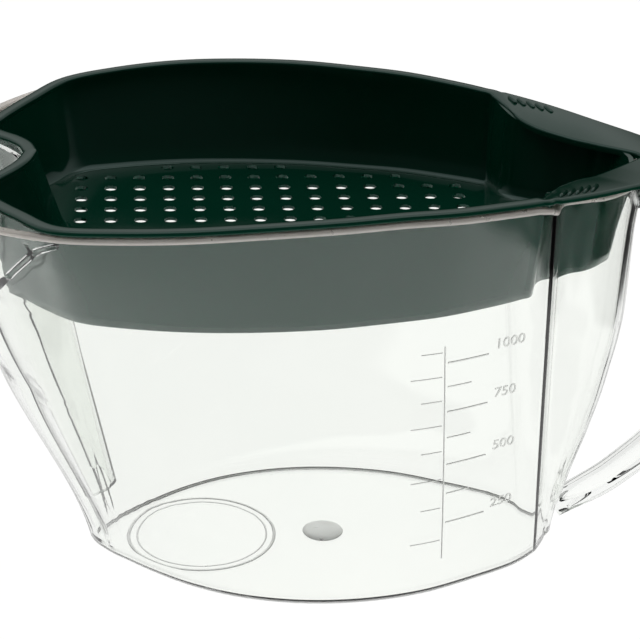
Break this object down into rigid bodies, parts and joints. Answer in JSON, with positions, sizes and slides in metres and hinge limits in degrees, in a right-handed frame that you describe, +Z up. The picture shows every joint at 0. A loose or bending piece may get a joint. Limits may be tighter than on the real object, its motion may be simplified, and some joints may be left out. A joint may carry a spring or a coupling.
{
  "type": "fat separator jug with strainer",
  "caption": "Clear oval measuring jug with a low-drawing spout channel and a loop handle, and a dark lift-out strainer insert with a perforated floor.",
  "frame": {"origin": "centre of the bounding box at the bottom of the jug, on the surface it stands on", "axes": "+Z up, +X from the spout towards the handle, Y across the jug, which is symmetric about the XZ plane"},
  "size_m": [0.259, 0.145, 0.1301],
  "materials": {
    "clear_plastic": "polished clear moulded plastic",
    "green_plastic": "glossy very dark green moulded plastic"
  },
  "bodies": {
    "jug": {"jug_shell": "clear_plastic", "spout_baffle": "clear_plastic", "jug_handle": "clear_plastic"},
    "strainer": {"strainer_wall": "green_plastic", "strainer_floor": "green_plastic", "strainer_rim": "green_plastic"}
  },
  "joints": [
    {"name": "strainer_lift", "type": "slide", "parent": "jug", "child": "strainer", "axis": [0, 0, 1], "range_m": [0, 0.06]}
  ]
}
